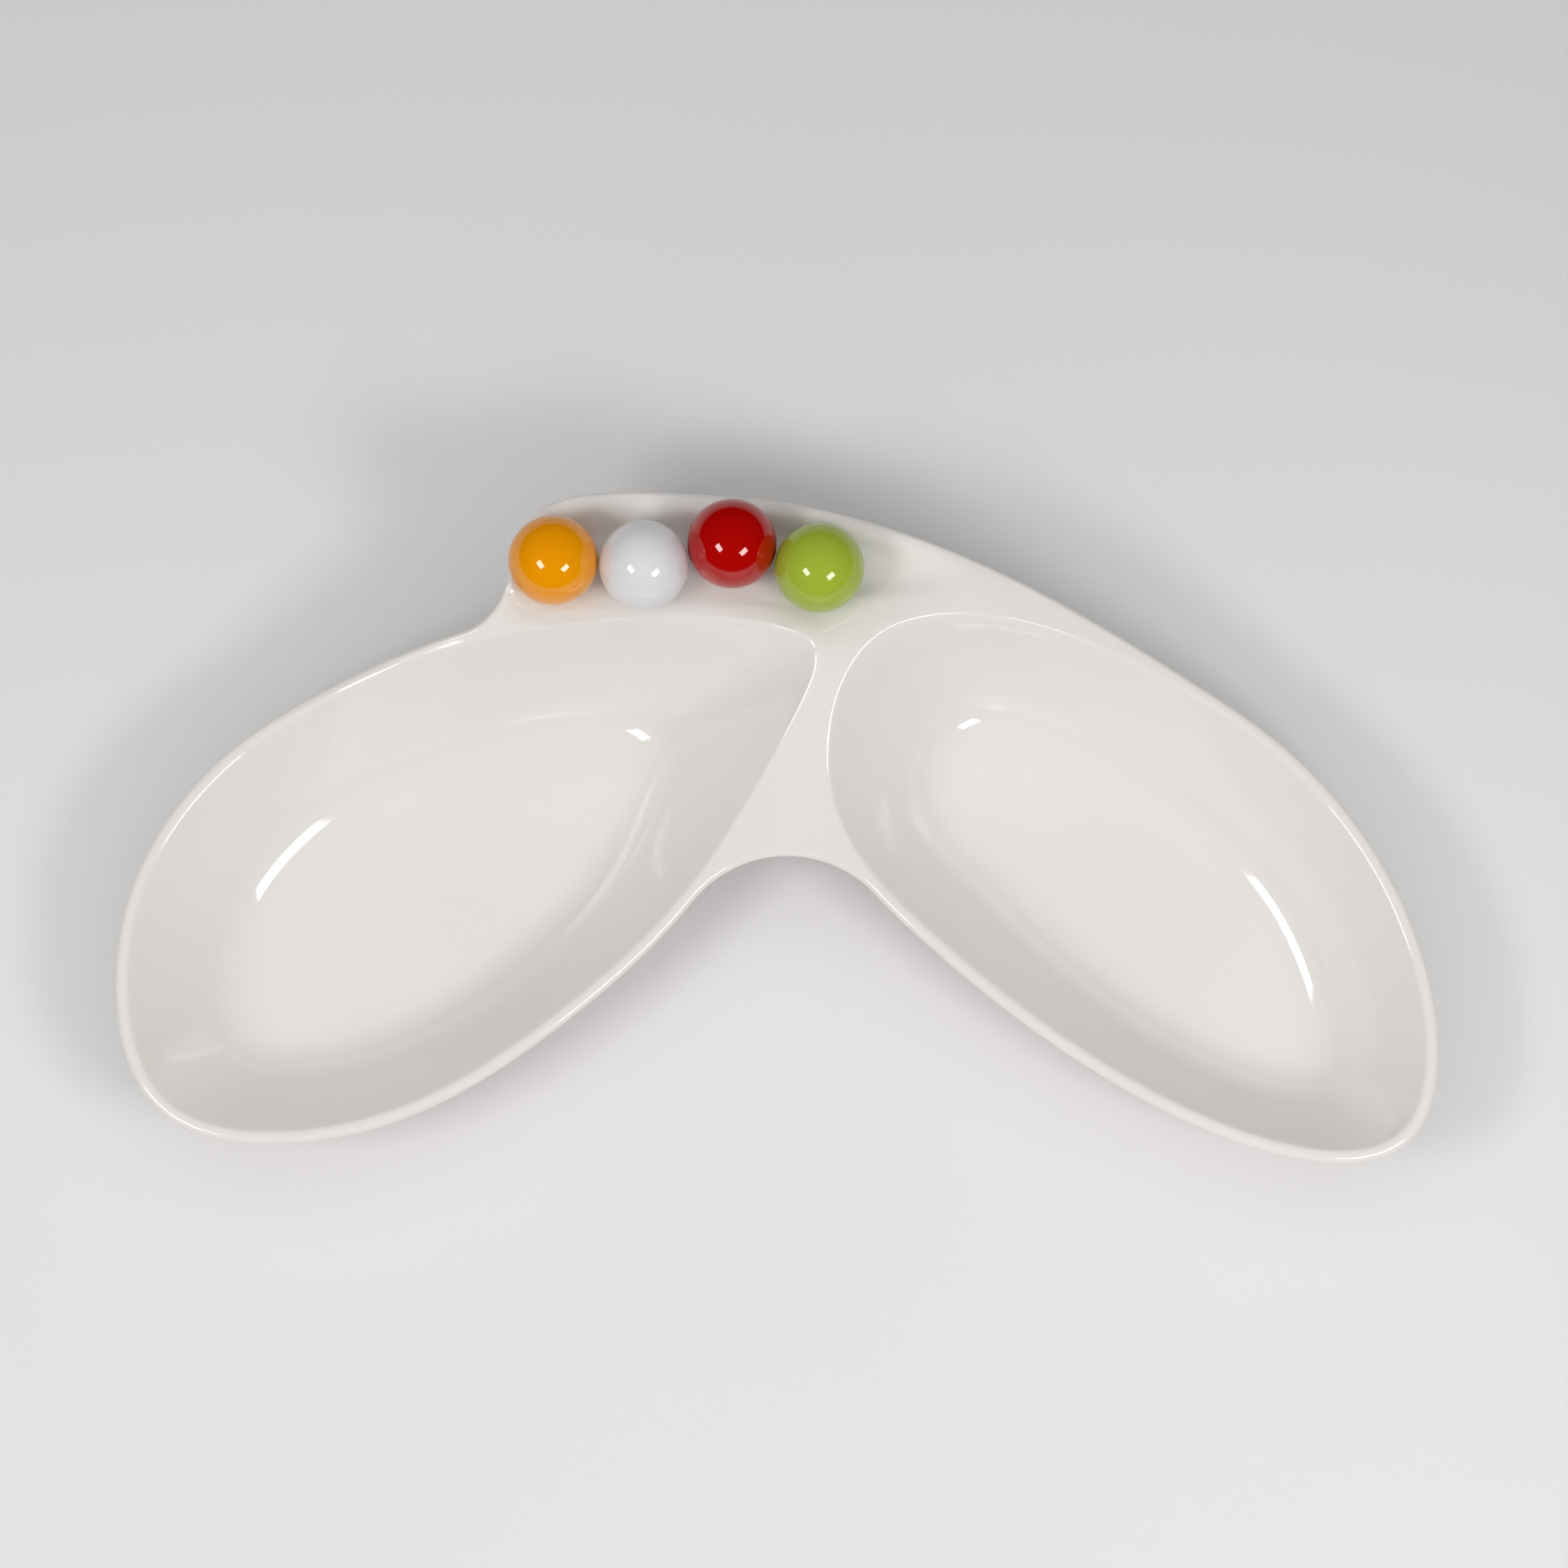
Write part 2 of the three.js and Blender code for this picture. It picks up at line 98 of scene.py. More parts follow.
# Left edge of the bridge: it falls a little faster to the front than the rim does.
BRIDGE_TILT = 1.2
BRIDGE_FROM = (-30.0, 0.0)
BRIDGE_FALL = (10.0, 46.0)

# Foot rings.
FOOT_HEIGHT = 3.0
FOOT_INSET = 5.0
FOOT_WIDTH = 5.0
FOOT_TAPER = 1.0
FOOT_ROUND = 0.6
FOOT_DRAFT = 0.2

# Trough, and the ridge in front of it, which dips below the rim.
TROUGH_DEPTH = 7.0
TROUGH_WALL = 5.0
TROUGH_LIP = 3.5
TROUGH_FADE = (8.0, 58.0)
RIDGE_DIP = 5.0
RIDGE_FADE_LEFT = (-115.0, -75.0)
RIDGE_FADE_RIGHT = (-62.0, 12.0)

# Outline where it leaves the mouths: the arch, the shoulder, and the back flank between two points.
ARCH_RADIUS = 40.0
SHOULDER_RADIUS = 20.0
FLANK_START = (10.0, 88.5)
FLANK_END = (150.0, 28.0)

# Zones of the upper side that are wiped soft: middle x, y and half lengths, fully soft within the core.
SOFT_ZONES = (
    (50, 64, 34, 16),
    (-20, 50, 29, 13),
    (-91, 54, 12, 10),
)
SOFT_CORE = 0.3
SOFT_ROUNDS = 40

# Fineness of the mesh: points round each hollow, steps along its section, and the deck's grid.
BOWL_POINTS = 320
TROUGH_POINTS = 200
FINE = 8
ARC_POINTS = 48
FLANK_POINTS = 64
EDGE_STEPS = 8
WALL_STEPS = 10
FILLET_STEPS = 14
FLOOR_RINGS = (0.25, 0.5, 0.75)
BEND_STEPS = 8
OUTER_STEPS = 8
TROUGH_STEPS = 12
LIP_STEPS = 12
DECK_GRID = 2.6
DECK_CLEAR = 0.6 * DECK_GRID
WHOLE_HULL = 0
SAME_POINT = 1e-7
FILM_ROUNDS = 1500

# Stations round each hollow, anticlockwise from above: mouth x, y and floor corner x, y in millimetres.
LEFT_BOWL = (
    (8, 44.5, -45.5, 21.5), (-29.5, 53.5, -59, 30.5), (-83.5, 49.5, -88.5, 28.5),
    (-139.5, 35.5, -129, 11), (-189, 6, -164.5, -14.5), (-218.5, -45, -184.5, -48),
    (-211.5, -101, -183.5, -82.5), (-172, -118, -159.5, -89.5), (-121, -107, -122, -78),
    (-72, -75, -86.5, -55), (-31, -34, -65, -28.5), (2, 18, -47.5, 3),
)
RIGHT_BOWL = (
    (29.5, 44, 57, 27.5), (17, -7, 50.5, -4), (52, -53, 75, -34.5), (96, -88, 107.5, -64),
    (153, -118, 150, -91.5), (206, -117.5, 181.5, -92.5), (211.5, -62, 177.5, -57),
    (184, -7, 157.5, -23.5), (140.5, 29, 124, 6), (82, 51.5, 85, 30.5),
)
TROUGH = (
    (63, 67, 26.5, 70), (19.5, 84, 17.5, 77), (-18.5, 90.5, -17.5, 80), (-57, 92, -54, 80),
    (-80.5, 86.5, -77.5, 78.5), (-89, 72, -83, 70), (-86.5, 58, -79.5, 63.5), (-59, 55.5, -55, 63.5),
    (24.5, 58, 15.5, 64),
)


def closed_curve(points, count):
    """Smooth closed curve through the points, at equal steps of its parameter."""
    points = np.array(points, float)
    n = len(points)
    system = 4 * np.eye(n) + np.roll(np.eye(n), 1, 0) + np.roll(np.eye(n), -1, 0)
    controls = np.linalg.solve(system / 6, points)
    place = np.arange(count) * n / count
    i = np.floor(place).astype(int)
    f = (place - i)[:, None]
    weights = ((1 - f) ** 3, 3 * f**3 - 6 * f**2 + 4, -3 * f**3 + 3 * f**2 + 3 * f + 1, f**3)
    return sum(w * controls[(i + j - 1) % n] for j, w in enumerate(weights)) / 6


def loop_normals(loop):
    """Outward unit normals of an anticlockwise loop."""
    along = np.roll(loop, -1, 0) - np.roll(loop, 1, 0)
    along /= np.linalg.norm(along, axis=1)[:, None]
    return np.stack((along[:, 1], -along[:, 0]), 1)


def widened(loop, distance):
    """Loop moved outwards along its normals."""
    return loop + distance * loop_normals(loop)


def smoothstep(x, low, high):
    """Soft step from 0 at the low value to 1 at the high one."""
    t = np.clip((x - low) / (high - low), 0, 1)
    return t * t * (3 - 2 * t)


def rim_height(plan):
    """Height of the rim: level round both lobes, and swelling up to the trough."""
    x, y = plan.T
    across = smoothstep(x, *RISE_LEFT) * (1 - smoothstep(x, *RISE_RIGHT))
    return RIM_HEIGHT + BACK_RISE * across * smoothstep(y, *RISE_FRONT)


def crossings(first, second):
    """Points where two closed loops cross."""
    a = first[:, None]
    along = np.roll(first, -1, 0)[:, None] - a
    b = second[None]
    across = np.roll(second, -1, 0)[None] - b
    area = along[..., 0] * across[..., 1] - along[..., 1] * across[..., 0]
    gap = b - a
    area = np.where(area == 0, np.inf, area)
    s = (gap[..., 0] * across[..., 1] - gap[..., 1] * across[..., 0]) / area
    t = (gap[..., 0] * along[..., 1] - gap[..., 1] * along[..., 0]) / area
    i, j = np.nonzero((s >= 0) & (s < 1) & (t >= 0) & (t < 1))
    return first[i] + s[i, j, None] * along[i, 0]


def nearest(loop, point):
    """Index of the loop's point that lies nearest to a point."""
    return int(np.argmin(np.linalg.norm(loop - point, axis=1)))


def stretch(loop, start, end):
    """Points of a fine loop from one index to another, thinned between its ends."""
    count = (end - start) % len(loop)
    steps = max(2, round(count / FINE))
    kept = np.round(np.linspace(0, count, steps + 1)).astype(int)
    return loop[(start + kept) % len(loop)]


def arc_between(centre, start, end):
    """Points of an arc about a centre, the shorter way round, without its ends."""
    a, b = start - centre, end - centre
    turn = math.atan2(a[0] * b[1] - a[1] * b[0], a @ b)
    angles = turn * np.arange(1, ARC_POINTS) / ARC_POINTS
    c, s = np.cos(angles), np.sin(angles)
    return centre + np.stack((a[0] * c - a[1] * s, a[0] * s + a[1] * c), 1)


def flank_between(first, start, second, end):
    """Points of a smooth curve that leaves one loop and runs into another, without its ends."""
    p, q = first[start], second[end]
    reach = np.linalg.norm(q - p) / 3
    leaving, arriving = loop_normals(first)[start], loop_normals(second)[end]
    p1 = p + reach * np.array((-leaving[1], leaving[0]))
    q1 = q + reach * np.array((arriving[1], -arriving[0]))
    t = (np.arange(1, FLANK_POINTS) / FLANK_POINTS)[:, None]
    return (1 - t) ** 3 * p + 3 * t * (1 - t) ** 2 * p1 + 3 * t**2 * (1 - t) * q1 + t**3 * q


def hollow(stations, count):
    """Mouth and floor-corner curves of one hollow, with its wall's run and direction outwards.

    The lip's outline has half as many points as the mouth, and is found on a finer curve.
    """
    stations = np.array(stations, float)
    mouth, floor = closed_curve(stations[:, :2], count), closed_curve(stations[:, 2:], count)
    run = np.linalg.norm(mouth - floor, axis=1)
    return {
        "mouth": mouth,
        "floor": floor,
        "run": run,
        "outward": (mouth - floor) / run[:, None],
        "fine": closed_curve(stations[:, :2], count // 2 * FINE),
    }


def dish_outline(left, right, trough):
    """The mouths widened by the lip, joined by the arch, the shoulder and the back flank."""
    left_edge = widened(left["fine"], LIP_WIDTH)
    right_edge = widened(right["fine"], LIP_WIDTH)
    trough_edge = widened(trough["fine"], TROUGH_LIP)
    arches = crossings(widened(left_edge, ARCH_RADIUS), widened(right_edge, ARCH_RADIUS))
    arch = arches[np.argmin(arches[:, 1])]
    shoulders = crossings(widened(left_edge, SHOULDER_RADIUS), widened(trough_edge, SHOULDER_RADIUS))
    shoulder = shoulders[np.argmin(shoulders[:, 0])]
    left_arch, right_arch = nearest(left_edge, arch), nearest(right_edge, arch)
    left_shoulder, trough_shoulder = nearest(left_edge, shoulder), nearest(trough_edge, shoulder)
    right_flank, trough_flank = nearest(right_edge, FLANK_END), nearest(trough_edge, FLANK_START)
    return np.concatenate((
        stretch(left_edge, left_shoulder, left_arch),
        arc_between(arch, left_edge[left_arch], right_edge[right_arch]),
        stretch(right_edge, right_arch, right_flank),
        flank_between(right_edge, right_flank, trough_edge, trough_flank),
        stretch(trough_edge, trough_flank, trough_shoulder),
        arc_between(shoulder, trough_edge[trough_shoulder], left_edge[left_shoulder]),
    ))


class Shell:
    """Gathers loops of points and the faces between them into one closed surface."""

    def __init__(self):
        self.points = []
        self.faces = []

    def loop(self, plan, height):
        """Adds a loop of points, at one height or at a height for each, and gives back their indices."""
        first = len(self.points)
        heights = np.broadcast_to(height, (len(plan),))
        self.points.extend((x, y, z) for (x, y), z in zip(plan, heights))
        return list(range(first, len(self.points)))

    def chain(self, loops):
        """Faces between neighbouring loops; they look up where each loop lies outside the next."""
        for a, b in zip(loops, loops[1:]):
            n = len(a)
            self.faces.extend((a[i], a[(i + 1) % n], b[(i + 1) % n], b[i]) for i in range(n))

    def cap(self, loop, centre, height, up):
        """Closes a loop with a fan of faces that look up or down."""
        tip = self.loop([centre], height)[0]
        for i, v in enumerate(loop):
            w = loop[(i + 1) % len(loop)]
            self.faces.append((v, w, tip) if up else (w, v, tip))


def moved(point, heading, distance):
    """Point of a section, moved along a heading; each is a pair of arrays, distance across and height."""
    return tuple(a + distance * d for a, d in zip(point, heading))


def heading(start, end):
    """Unit heading from one point of a section to another."""
    across, up = end[0] - start[0], end[1] - start[1]
    length = np.hypot(across, up)
    return across / length, up / length


def corner_curve(before, corner, after, steps):
    """Rounded corner of a section between two legs."""
    ts = np.linspace(0, 1, steps + 1)
    return [
        tuple((1 - t) ** 2 * a + 2 * t * (1 - t) * b + t**2 * c for a, b, c in zip(before, corner, after))
        for t in ts
    ]


def straight(start, end, steps):
    """Points of a straight stretch of a section, without its ends."""
    ts = np.linspace(0, 1, steps + 1)[1:-1]
    return [tuple((1 - t) * a + t * b for a, b in zip(start, end)) for t in ts]


def carry_section(shell, bowl, section):
    """Loops of one section carried round a bowl."""
    return [
        shell.loop(bowl["floor"] + bowl["outward"] * np.broadcast_to(d, bowl["run"].shape)[:, None], z)
        for d, z in section
    ]


def add_inside(shell, bowl, rim, fall):
    """Inside of a bowl, from its mouth down to its floor; gives back the loop that meets the deck."""
    run = bowl["run"]
    mouth, corner = (run, rim), (np.zeros_like(run), np.full_like(run, FLOOR_HEIGHT))
    wall = heading(corner, mouth)
    edge = corner_curve((run + MOUTH_FILLET, rim), mouth, moved(mouth, wall, -fall), EDGE_STEPS)
    on_wall, on_floor = moved(corner, wall, FLOOR_FILLET), (corner[0] - FLOOR_FILLET, corner[1])
    fillet = corner_curve(on_wall, corner, on_floor, FILLET_STEPS)
    loops = carry_section(shell, bowl, edge + straight(edge[-1], on_wall, WALL_STEPS) + fillet)
    middle = bowl["floor"].mean(0)
    inner = bowl["floor"] - FLOOR_FILLET * bowl["outward"]
    loops += [shell.loop((1 - s) * inner + s * middle, FLOOR_HEIGHT) for s in FLOOR_RINGS]
    shell.chain(loops)
    shell.cap(loops[-1], middle, FLOOR_HEIGHT, up=True)
    return loops[0]


def add_outside(shell, bowl, rim, fall):
    """Outside of a bowl, from within its foot ring up; gives back the loop that meets the deck."""
    run = bowl["run"]
    zero = np.zeros_like(run)
    top = (run + MOUTH_FILLET, rim - DECK_THICKNESS - SOFT_BACKING * (fall - MOUTH_FILLET))
    corner = (zero + WALL_OUTSET, zero + FOOT_HEIGHT)
    outer, inner = -FOOT_INSET, -FOOT_INSET - FOOT_WIDTH
    foot = [(zero + d, zero + z) for d, z in (
        (inner - FOOT_TAPER, FOOT_HEIGHT), (inner - FOOT_DRAFT, FOOT_ROUND), (inner + FOOT_ROUND, 0),
        (outer - FOOT_ROUND, 0), (outer + FOOT_DRAFT, FOOT_ROUND), (outer + FOOT_TAPER, FOOT_HEIGHT),
    )]
    bend = corner_curve(foot[-1], corner, moved(corner, heading(corner, top), FLOOR_FILLET), BEND_STEPS)
    loops = carry_section(shell, bowl, foot + bend[1:] + straight(bend[-1], top, OUTER_STEPS) + [top])
    shell.chain(loops)
    shell.cap(loops[0], bowl["floor"].mean(0), FOOT_HEIGHT, up=False)
    return loops[-1]


def add_bowl(shell, bowl, rim, fall):
    """Both sides of a bowl; gives back the loops that meet the deck above and below."""
    return add_inside(shell, bowl, rim, fall), add_outside(shell, bowl, rim, fall)


def add_trough(shell, trough, rim):
    """Soft-sided trough, the same wall above and below."""
    bottom = RIM_HEIGHT + BACK_RISE - TROUGH_DEPTH
    middle = trough["floor"].mean(0)
    above, below = [], []
    for t in np.linspace(0, 1, TROUGH_STEPS + 1):
        plan = (1 - t) * trough["mouth"] + t * trough["floor"]
        fall = smoothstep(t, 0, 1)
        height = (1 - fall) * rim + fall * bottom
        wall = (1 - fall) * DECK_THICKNESS + fall * TROUGH_WALL
        above.append(shell.loop(plan, height))
        below.append(shell.loop(plan, height - wall))
    shell.chain(above)
    shell.cap(above[-1], middle, bottom, up=True)
    shell.chain(below[::-1])
    shell.cap(below[-1], middle, bottom - TROUGH_WALL, up=False)
    return above[0], below[0]


def add_lip(shell, outline):
    """Half-round lip along the outline, from the deck's underside round to its top."""
    loops = []
    for angle in np.linspace(-math.pi / 2, math.pi / 2, LIP_STEPS + 1):
        inset = LIP_RADIUS * (1 - math.cos(angle))
        below = LIP_RADIUS * (1 - math.sin(angle))
        loops.append(shell.loop(widened(outline, -inset), rim_height(outline) - below))
    shell.chain(loops)
    return loops[-1], loops[0]


def inside_loop(points, loop):
    """Which plan points lie inside a closed loop."""
    x, y = points[:, 0, None], points[:, 1, None]
    a, b = loop[None], np.roll(loop, -1, 0)[None]
    straddles = (a[..., 1] > y) != (b[..., 1] > y)
    rise = np.where(b[..., 1] == a[..., 1], 1, b[..., 1] - a[..., 1])
    at = a[..., 0] + (y - a[..., 1]) / rise * (b[..., 0] - a[..., 0])
    return (straddles & (x < at)).sum(1) % 2 == 1


def on_deck(points, plans):
    """Which plan points lie inside the lip's loop and outside the hollows' loops."""
    lip, *hollows = plans
    keep = inside_loop(points, lip)
    for loop in hollows:
        keep &= ~inside_loop(points, loop)
    return keep


def clear_of(points, loop, distance):
    """Which plan points lie further than a distance from a loop's points."""
    return np.array([np.min(np.sum((loop - p) ** 2, axis=1)) > distance**2 for p in points])


def deck_grid(plans):
    """Even grid of plan points on the deck, clear of its edges."""
    low, high = plans[0].min(0), plans[0].max(0)
    rows = np.arange(low[1], high[1], DECK_GRID * math.sqrt(3) / 2)
    columns = np.arange(low[0], high[0], DECK_GRID)
    grid = np.array([(x + (r % 2) * DECK_GRID / 2, y) for r, y in enumerate(rows) for x in columns])
    grid = grid[on_deck(grid, plans)]
    for loop in plans:
        grid = grid[clear_of(grid, loop, DECK_CLEAR)]
    return grid


def deck_triangles(points, plans):
    """Triangles between the deck's points, all anticlockwise; the points start with its edges."""
    bounds = []
    for loop in plans:
        first = len(bounds)
        bounds += [(first + i, first + (i + 1) % len(loop)) for i in range(len(loop))]
    flat = [tuple(p) for p in points]
    _, _, cells, sources, _, _ = geometry.delaunay_2d_cdt(flat, bounds, [], WHOLE_HULL, SAME_POINT)
    triangles = np.array([[sources[v][0] for v in cell] for cell in cells])
    triangles = triangles[on_deck(points[triangles].mean(1), plans)]
    a, b, c = (points[triangles[:, k]] for k in range(3))
    turn = (b[:, 0] - a[:, 0]) * (c[:, 1] - a[:, 1]) - (b[:, 1] - a[:, 1]) * (c[:, 0] - a[:, 0])
    triangles[turn < 0] = triangles[turn < 0][:, ::-1]
    return triangles


def film_heights(triangles, heights, fixed):
    """Heights of a sheet that hangs between its fixed edges like a soap film, without the edges."""
    ends = np.concatenate([triangles[:, (i, j)] for i, j in ((0, 1), (1, 2), (2, 0))])
    ends = np.concatenate((ends, ends[:, ::-1]))
    count = np.bincount(ends[:, 0], minlength=len(heights))
    for _ in range(FILM_ROUNDS):
        mean = np.bincount(ends[:, 0], heights[ends[:, 1]], len(heights)) / np.maximum(count, 1)
        heights[fixed:] = mean[fixed:]
    return heights[fixed:]


def add_deck(shell, edges):
    """Deck between the lip and the hollows, as a fine sheet above and the same sheet below."""
    above = [np.array([shell.points[v] for v in top]) for top, _ in edges]
    plans = [loop[:, :2] for loop in above]
    grid = deck_grid(plans)
    points = np.concatenate(plans + [grid])
    triangles = deck_triangles(points, plans)
    heights = np.concatenate([loop[:, 2] for loop in above] + [rim_height(grid)])
    film = film_heights(triangles, heights, len(points) - len(grid))
    top = [v for loop, _ in edges for v in loop] + shell.loop(grid, film)
    under = [v for _, loop in edges for v in loop] + shell.loop(grid, film - DECK_THICKNESS)
    shell.faces.extend((top[i], top[j], top[k]) for i, j, k in triangles)
    shell.faces.extend((under[i], under[k], under[j]) for i, j, k in triangles)


def soften(points, faces):
    """Wipes the edges round and smooth in the soft zones of the upper side, as a wet sponge does."""
    ends = np.array([(f[i], f[i - 1]) for f in faces for i in range(len(f))])
    ends = np.unique(np.concatenate((ends, ends[:, ::-1])), axis=0)
    length = np.linalg.norm(points[ends[:, 0]] - points[ends[:, 1]], axis=1)
    count = len(points)
    total = np.bincount(ends[:, 0], 1 / length, count)
    upward = np.zeros(count)
    for f in faces:
        a, b, c = points[list(f[:3])]
        upward[list(f)] += (b[0] - a[0]) * (c[1] - a[1]) - (b[1] - a[1]) * (c[0] - a[0])
    ease = np.zeros(count)
    for x, y, half_width, half_depth in SOFT_ZONES:
        away = np.hypot((points[:, 0] - x) / half_width, (points[:, 1] - y) / half_depth)
        ease = np.maximum(ease, 1 - smoothstep(away, SOFT_CORE, 1))
    ease[upward <= 0] = 0
    height = points[:, 2].copy()
    for _ in range(SOFT_ROUNDS):
        mean = np.bincount(ends[:, 0], height[ends[:, 1]] / length, count) / total
        height += ease * (mean - height)
    return np.column_stack((points[:, :2], height))


def facing_back(mouth):
    """How far each point of a mouth looks to the back, from 0 to 1."""
    return smoothstep(loop_normals(mouth)[:, 1], 0, 1)


left_bowl, right_bowl = hollow(LEFT_BOWL, BOWL_POINTS), hollow(RIGHT_BOWL, BOWL_POINTS)
trough = hollow(TROUGH, TROUGH_POINTS)
outline = dish_outline(left_bowl, right_bowl, trough)

# The mouth of the left bowl dips to the ridge in front of the trough, where its edge is soft and broad.
x, y = left_bowl["mouth"].T
back = facing_back(left_bowl["mouth"])
low = back * smoothstep(x, *RIDGE_FADE_LEFT) * (1 - smoothstep(x, *RIDGE_FADE_RIGHT))
soft = back * smoothstep(x, *LEFT_SOFT_FROM) * (1 - smoothstep(x, *LEFT_SOFT_TO))
tilt = (1 - back) * smoothstep(x, *BRIDGE_FROM) * (2 * smoothstep(y, *BRIDGE_FALL) - 1)
left_rim = rim_height(left_bowl["mouth"]) - RIDGE_DIP * low + BRIDGE_TILT * tilt
left_fall = MOUTH_FILLET + (LEFT_BACK_FILLET - MOUTH_FILLET) * soft

# The mouth of the right bowl is softer at the back towards the bridge.
x = right_bowl["mouth"][:, 0]
soft = facing_back(right_bowl["mouth"]) * (1 - smoothstep(x, *RIGHT_SOFT_TO))
right_rim = rim_height(right_bowl["mouth"])
right_fall = MOUTH_FILLET + (RIGHT_BACK_FILLET - MOUTH_FILLET) * soft

# The trough's mouth falls round its left end to the ridge.
x = trough["mouth"][:, 0]
front = smoothstep(-loop_normals(trough["mouth"])[:, 1], -1, 1)
trough_rim = rim_height(trough["mouth"]) - RIDGE_DIP * front * (1 - smoothstep(x, *TROUGH_FADE))

shell = Shell()
add_deck(shell, (
    add_lip(shell, outline),
    add_bowl(shell, left_bowl, left_rim, left_fall),
    add_bowl(shell, right_bowl, right_rim, right_fall),
    add_trough(shell, trough, trough_rim),
))
points = soften(np.array(shell.points), shell.faces)
centre = np.append((outline.min(0) + outline.max(0)) / 2, 0)
dish_mesh = bpy.data.meshes.new("cast_dish")
dish_mesh.from_pydata((points - centre) * MM, [], shell.faces)
dish_mesh.validate()
dish_mesh.shade_smooth()

# Glaze of the dish: warm white, with a few iron specks as fine as dust, over clay that is bare at the feet.
DISH_THIN = (0.825, 0.798, 0.765)
DISH_THICK = (0.805, 0.778, 0.745)
DISH_ROUGHNESS = 0.07
DISH_RIPPLE = 0.05
SPECK_COLOUR = (0.10, 0.08, 0.06)
SPECK_CELLS = 45.0
SPECK_RADIUS = 0.012
SPECK_SHARE = 0.10
CLAY_COLOUR = (0.70, 0.64, 0.56)
CLAY_ROUGHNESS = 0.8
BARE_BELOW = 0.0005

# Any gloss glaze: how it pools, how its surface ripples, and how strongly it mirrors.
POOL_SCALE = 22.0
POOL_DETAIL = 3.0
RIPPLE_SCALE = 70.0
RIPPLE_DETAIL = 1.0
RIPPLE_DEPTH = 0.001
GLAZE_IOR = 1.6

# Places of the colour sockets on a Mix node.
MIX_FIRST, MIX_SECOND, MIX_RESULT = 6, 7, 2


class Nodes:
    """Shortcuts to fill a node tree; an input takes a value or the output that feeds it."""

    def __init__(self, tree):
        self.tree = tree
        tree.nodes.clear()

    def feed(self, socket, value):
        """Sets an input, or links an output to it."""
        if isinstance(value, bpy.types.NodeSocket):
            self.tree.links.new(value, socket)
        elif socket.type == "RGBA":
            socket.default_value = (*value, 1)
        else:
            socket.default_value = value

    def add(self, kind, **inputs):
        """New node with some of its inputs fed."""
        node = self.tree.nodes.new(kind)
        for name, value in inputs.items():
            self.feed(node.inputs[name.replace("_", " ")], value)
        return node

    def math(self, operation, first, second):
        """Output of one step of arithmetic."""
        node = self.add("ShaderNodeMath")
        node.operation = operation
        self.feed(node.inputs[0], first)
        self.feed(node.inputs[1], second)
        return node.outputs[0]

    def mix(self, factor, first, second):
        """Colour between two others."""
        node = self.add("ShaderNodeMix")
        node.data_type = "RGBA"
        self.feed(node.inputs["Factor"], factor)
        self.feed(node.inputs[MIX_FIRST], first)
        self.feed(node.inputs[MIX_SECOND], second)
        return node.outputs[MIX_RESULT]


class Finish(Nodes):
    """A new material, with its patterns hung on the object's own coordinates."""

    def __init__(self, name):
        self.material = bpy.data.materials.new(name)
        self.material.use_nodes = True
        super().__init__(self.material.node_tree)
        self.place = self.add("ShaderNodeTexCoord").outputs["Object"]

    def clouds(self, scale, detail):
        """Soft noise from 0 to 1."""
        return self.add("ShaderNodeTexNoise", Vector=self.place, Scale=scale, Detail=detail).outputs["Fac"]

    def surface(self, **inputs):
        """The shader that ends the tree."""
        shader = self.add("ShaderNodeBsdfPrincipled", **inputs)
        self.add("ShaderNodeOutputMaterial", Surface=shader.outputs["BSDF"])


def pooled(finish, thin, thick):
    """Colour of a glaze: a little deeper where it lies thick."""
    return finish.mix(finish.clouds(POOL_SCALE, POOL_DETAIL), thin, thick)


def glaze_over(finish, colour, roughness, ripple):
    """Gloss glaze with a slow ripple in its surface."""
    wave = finish.clouds(RIPPLE_SCALE, RIPPLE_DETAIL)
    bump = finish.add("ShaderNodeBump", Strength=ripple, Distance=RIPPLE_DEPTH, Height=wave)
    finish.surface(Base_Color=colour, Roughness=roughness, IOR=GLAZE_IOR, Normal=bump.outputs["Normal"])


dish_glaze = Finish("dish_glaze")
cells = dish_glaze.add("ShaderNodeTexVoronoi", Vector=dish_glaze.place, Scale=SPECK_CELLS)
chance = dish_glaze.add("ShaderNodeSeparateColor", Color=cells.outputs["Color"]).outputs["Red"]
dot = dish_glaze.math("LESS_THAN", cells.outputs["Distance"], SPECK_RADIUS)
speck = dish_glaze.math("MULTIPLY", dot, dish_glaze.math("LESS_THAN", chance, SPECK_SHARE))
height = dish_glaze.add("ShaderNodeSeparateXYZ", Vector=dish_glaze.place).outputs["Z"]
bare = dish_glaze.math("LESS_THAN", height, BARE_BELOW)
speckled = dish_glaze.mix(speck, pooled(dish_glaze, DISH_THIN, DISH_THICK), SPECK_COLOUR)
rough = dish_glaze.add("ShaderNodeMapRange", Value=bare, To_Min=DISH_ROUGHNESS, To_Max=CLAY_ROUGHNESS)
glaze_over(dish_glaze, dish_glaze.mix(bare, speckled, CLAY_COLOUR), rough.outputs["Result"], DISH_RIPPLE)
dish_mesh.materials.append(dish_glaze.material)
dish = bpy.data.objects.new("cast_dish", dish_mesh)
scene.collection.objects.link(dish)
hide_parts("dish")
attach(dish, "dish")


# Balls: four loose clay balls, dipped in coloured gloss glaze and fired, lying in the trough.
# They are rolled by hand, so each is a little out of round. Nothing holds them but the trough.
BALL_SUBDIVISIONS = 6
OUT_OF_ROUND = 0.00012
LUMP_SCALE = 45.0
LUMP_DETAIL = 0.0
LUMP_MEAN = 0.5
BALL_ROUGHNESS = 0.04
BALL_RIPPLE = 0.006

